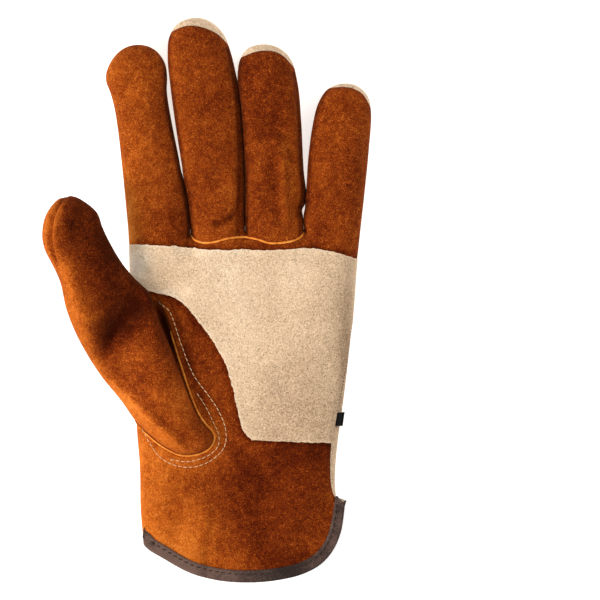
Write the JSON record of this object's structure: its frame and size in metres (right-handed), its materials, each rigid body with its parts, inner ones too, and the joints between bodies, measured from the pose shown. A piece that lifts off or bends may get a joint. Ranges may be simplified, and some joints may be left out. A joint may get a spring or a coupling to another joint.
{
  "type": "beekeeping glove",
  "caption": "Left-hand suede glove with hollow flexing fingers, keystone thumb, reinforced palm and bound cuff, lying palm up.",
  "frame": {"origin": "centre of the bounding box in plan, on the flat back the glove lies on", "axes": "+Y from cuff to fingertips, +X from the thumb side to the little-finger side, +Z out of the palm"},
  "size_m": [0.1547, 0.265, 0.0425],
  "materials": {
    "brown_suede": "napped rust-brown suede",
    "beige_split_leather": "napped pale beige split leather",
    "hem_tape": "dark brown woven-look tape",
    "orange_raw_edge": "bright raw cut edge",
    "white_thread": "off-white twisted thread",
    "brown_thread": "brown twisted thread",
    "pale_thread": "beige twisted thread",
    "elastic": "knitted off-white elastic",
    "black_tape": "folded black woven tape"
  },
  "bodies": {
    "hand": {"palm_panel": "brown_suede", "middle_ring_front_root": "brown_suede", "hand_back_panel": "beige_split_leather", "palm_patch": "beige_split_leather", "finger_base_welt": "orange_raw_edge", "thumb_front_base": "brown_suede", "thumb_back_base": "brown_suede", "thumb_base_welt": "orange_raw_edge", "thumb_topstitch_inner": "white_thread", "thumb_topstitch_outer": "white_thread", "patch_stitches": "pale_thread", "wrist_elastic": "elastic", "elastic_stitches": "pale_thread", "side_tab": "black_tape"},
    "cuff": {"cuff_front_panel": "brown_suede", "cuff_back_panel": "beige_split_leather", "hem_binding": "hem_tape", "hem_stitches": "brown_thread"},
    "index_lower": {"index_front_lower": "brown_suede", "index_back_lower": "beige_split_leather", "index_fourchette_middle_side_lower": "brown_suede"},
    "index_upper": {"index_front_upper": "brown_suede", "index_back_upper": "beige_split_leather", "index_fourchette_middle_side_upper": "brown_suede"},
    "middle_lower": {"middle_front_lower": "brown_suede", "middle_back_lower": "beige_split_leather", "middle_fourchette_index_side_lower": "brown_suede", "middle_fourchette_ring_side_lower": "brown_suede"},
    "middle_upper": {"middle_front_upper": "brown_suede", "middle_back_upper": "beige_split_leather", "middle_fourchette_index_side_upper": "brown_suede", "middle_fourchette_ring_side_upper": "brown_suede"},
    "ring_lower": {"ring_front_lower": "brown_suede", "ring_back_lower": "beige_split_leather", "ring_fourchette_middle_side_lower": "brown_suede", "ring_fourchette_little_side_lower": "brown_suede"},
    "ring_upper": {"ring_front_upper": "brown_suede", "ring_back_upper": "beige_split_leather", "ring_fourchette_middle_side_upper": "brown_suede", "ring_fourchette_little_side_upper": "brown_suede"},
    "little_lower": {"little_front_lower": "brown_suede", "little_back_lower": "beige_split_leather", "little_fourchette_ring_side_lower": "brown_suede"},
    "little_upper": {"little_front_upper": "brown_suede", "little_back_upper": "beige_split_leather", "little_fourchette_ring_side_upper": "brown_suede"},
    "thumb_lower": {"thumb_front_lower": "brown_suede", "thumb_back_lower": "brown_suede"},
    "thumb_upper": {"thumb_front_upper": "brown_suede", "thumb_back_upper": "brown_suede"}
  },
  "joints": [
    {"name": "wrist_bend", "type": "hinge", "parent": "hand", "child": "cuff", "pos_m": [0.0144, -0.088, 0.0145], "axis": [-1, 0, 0], "range_deg": [0, 35]},
    {"name": "index_knuckle_bend", "type": "hinge", "parent": "hand", "child": "index_lower", "pos_m": [-0.023, 0.0375, 0.0145], "axis": [1, 0, 0], "range_deg": [0, 50]},
    {"name": "index_middle_bend", "type": "hinge", "parent": "index_lower", "child": "index_upper", "pos_m": [-0.02619, 0.064, 0.0145], "axis": [1, 0, 0], "range_deg": [0, 60]},
    {"name": "middle_knuckle_bend", "type": "hinge", "parent": "hand", "child": "middle_lower", "pos_m": [0.0049, 0.04, 0.0145], "axis": [1, 0, 0], "range_deg": [0, 50]},
    {"name": "middle_middle_bend", "type": "hinge", "parent": "middle_lower", "child": "middle_upper", "pos_m": [0.00255, 0.069, 0.0145], "axis": [1, 0, 0], "range_deg": [0, 60]},
    {"name": "ring_knuckle_bend", "type": "hinge", "parent": "hand", "child": "ring_lower", "pos_m": [0.0318, 0.04, 0.0145], "axis": [1, 0, 0], "range_deg": [0, 50]},
    {"name": "ring_middle_bend", "type": "hinge", "parent": "ring_lower", "child": "ring_upper", "pos_m": [0.03061, 0.065, 0.0145], "axis": [1, 0, 0], "range_deg": [0, 60]},
    {"name": "little_knuckle_bend", "type": "hinge", "parent": "hand", "child": "little_lower", "pos_m": [0.0588, 0.0365, 0.0145], "axis": [1, 0, 0], "range_deg": [0, 50]},
    {"name": "little_middle_bend", "type": "hinge", "parent": "little_lower", "child": "little_upper", "pos_m": [0.06085, 0.058, 0.0145], "axis": [1, 0, 0], "range_deg": [0, 60]},
    {"name": "thumb_lower_bend", "type": "hinge", "parent": "hand", "child": "thumb_lower", "pos_m": [-0.04749, 0.00468, 0.0302], "axis": [0.836, 0.4556, -0.306], "range_deg": [0, 35]},
    {"name": "thumb_tip_bend", "type": "hinge", "parent": "thumb_lower", "child": "thumb_upper", "pos_m": [-0.05748, 0.02515, 0.0334], "axis": [0.836, 0.4556, -0.306], "range_deg": [0, 50]}
  ]
}
